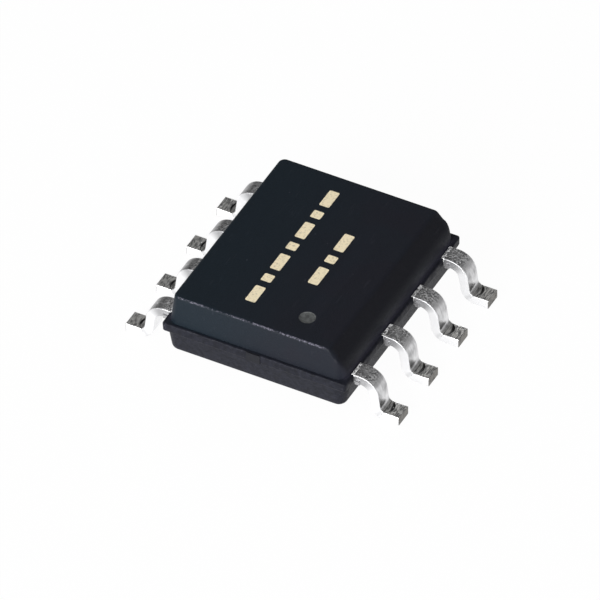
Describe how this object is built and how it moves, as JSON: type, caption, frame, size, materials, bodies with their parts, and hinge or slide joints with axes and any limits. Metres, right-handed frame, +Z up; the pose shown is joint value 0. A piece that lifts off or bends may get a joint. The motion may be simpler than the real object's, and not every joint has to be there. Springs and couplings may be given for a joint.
{
  "type": "flash memory chip",
  "caption": "Surface-mount flash memory chip: dark epoxy body with a bevelled pin-one edge and rows of gull-wing leads that solder to a circuit board.",
  "frame": {"origin": "middle of the seating plane, under the lead feet", "axes": "+X along the lead rows, +Y across them away from pin one, +Z up, away from the board"},
  "size_m": [0.005, 0.006, 0.0016],
  "materials": {
    "mould_compound": "dark navy-black epoxy, fine matte",
    "tin_plate": "matte tin over copper alloy",
    "frame_copper": "dull copper alloy",
    "silver_epoxy": "silver-filled epoxy",
    "silicon": "polished silicon",
    "gold_wire": "drawn gold"
  },
  "bodies": {
    "root": {"mould_body": "mould_compound", "lead_1": "tin_plate", "lead_2": "tin_plate", "lead_3": "tin_plate", "lead_4": "tin_plate", "lead_5": "tin_plate", "lead_6": "tin_plate", "lead_7": "tin_plate", "lead_8": "tin_plate", "die_paddle": "frame_copper", "die_attach": "silver_epoxy", "flash_die": "silicon", "bond_wire_1": "gold_wire", "bond_wire_2": "gold_wire", "bond_wire_3": "gold_wire", "bond_wire_4": "gold_wire", "bond_wire_5": "gold_wire", "bond_wire_6": "gold_wire", "bond_wire_7": "gold_wire", "bond_wire_8": "gold_wire"}
  },
  "joints": []
}
